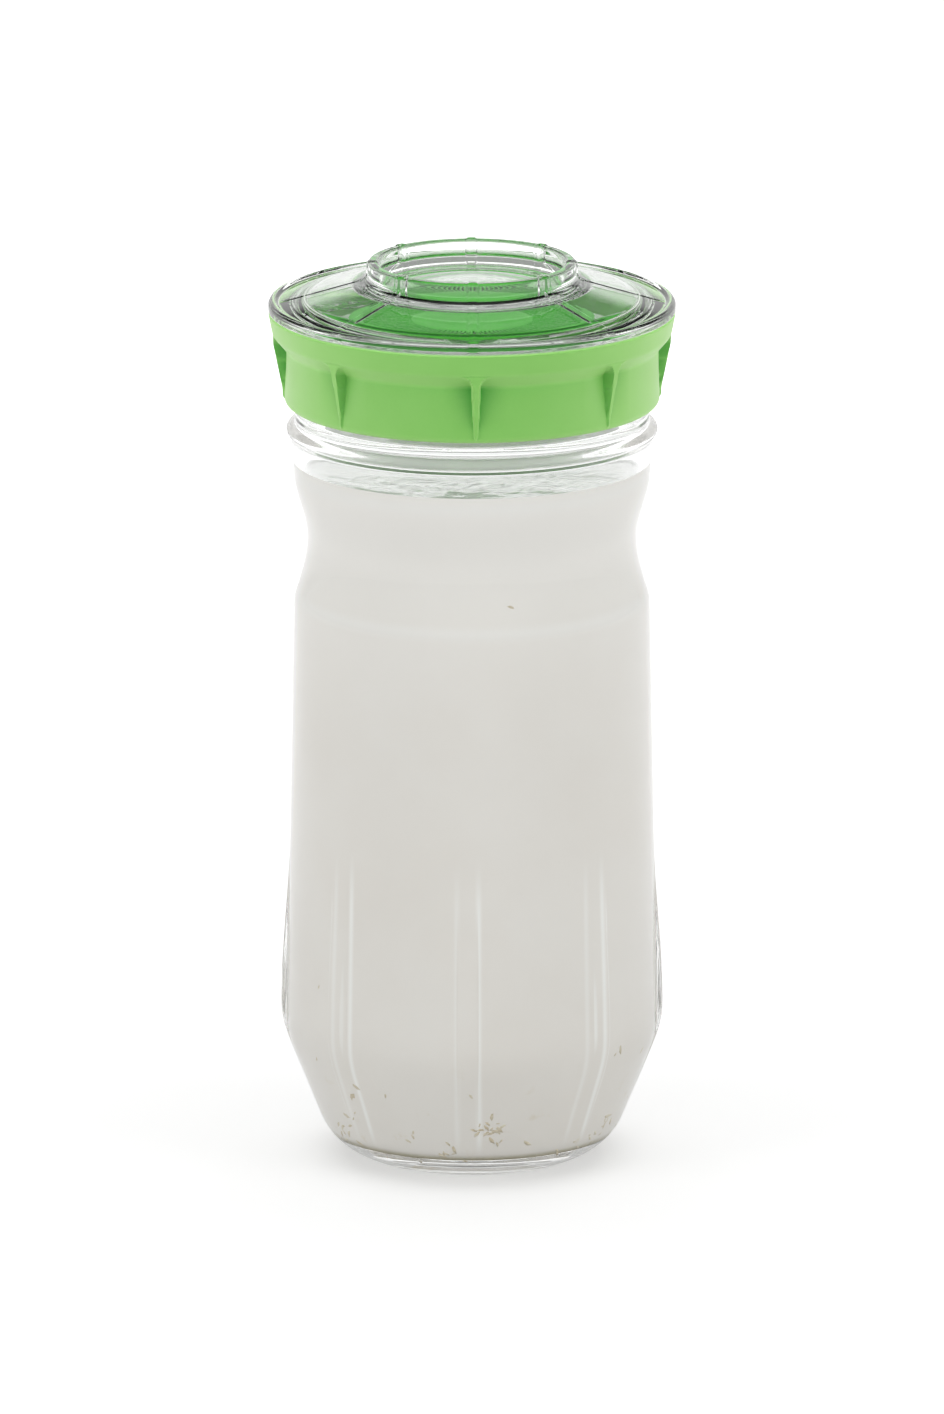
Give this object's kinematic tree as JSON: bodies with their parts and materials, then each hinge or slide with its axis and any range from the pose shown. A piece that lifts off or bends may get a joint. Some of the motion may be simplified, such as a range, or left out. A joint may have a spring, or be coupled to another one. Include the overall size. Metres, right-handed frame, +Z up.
{
  "type": "kefir jar",
  "caption": "Ribbed glass fermenting jar with a drawn-in waist, full of kefir, under a screw lid ring that holds a slotted strainer and a clear screw cover with a low cup wall.",
  "frame": {"origin": "centre of the standing face under the glass jar, on the jar's own axis", "axes": "+Z up along the jar's axis, -Y to the front, where a rib of the jar, of the lid ring and of the cover line up, +X to the right as seen from the front"},
  "size_m": [0.0978, 0.0978, 0.2206],
  "materials": {
    "clear_glass": "clear pressed soda-lime glass, glossy",
    "clear_plastic": "clear moulded plastic, polished",
    "green_plastic": "lime green moulded plastic, satin",
    "silicone": "soft pale silicone, matte",
    "kefir": "wet cultured milk, warm grey-white"
  },
  "bodies": {
    "jar": {"glass_jar": "clear_glass", "kefir_fill": "kefir"},
    "lid_lift": {"jar_seal": "silicone"},
    "lid": {"lid_ring": "green_plastic", "strainer": "green_plastic"},
    "cover_lift": {"cover_seal": "silicone"},
    "cover": {"cover": "clear_plastic"}
  },
  "joints": [
    {"name": "lid_rise", "type": "slide", "parent": "jar", "child": "lid_lift", "axis": [0, 0, 1], "range_m": [0, 0.0101]},
    {"name": "lid_turn", "type": "hinge", "parent": "lid_lift", "child": "lid", "pos_m": [0, 0, 0.1955], "axis": [0, 0, 1], "range_deg": [0, 360]},
    {"name": "cover_rise", "type": "slide", "parent": "lid", "child": "cover_lift", "axis": [0, 0, 1], "range_m": [0, 0.0061]},
    {"name": "cover_turn", "type": "hinge", "parent": "cover_lift", "child": "cover", "pos_m": [0, 0, 0.2083], "axis": [0, 0, 1], "range_deg": [0, 270]}
  ],
  "couplings": [
    {"joint": "lid_rise", "follows": "lid_turn", "m_per_rad": 0.0015915},
    {"joint": "cover_rise", "follows": "cover_turn", "m_per_rad": 0.0012732}
  ]
}
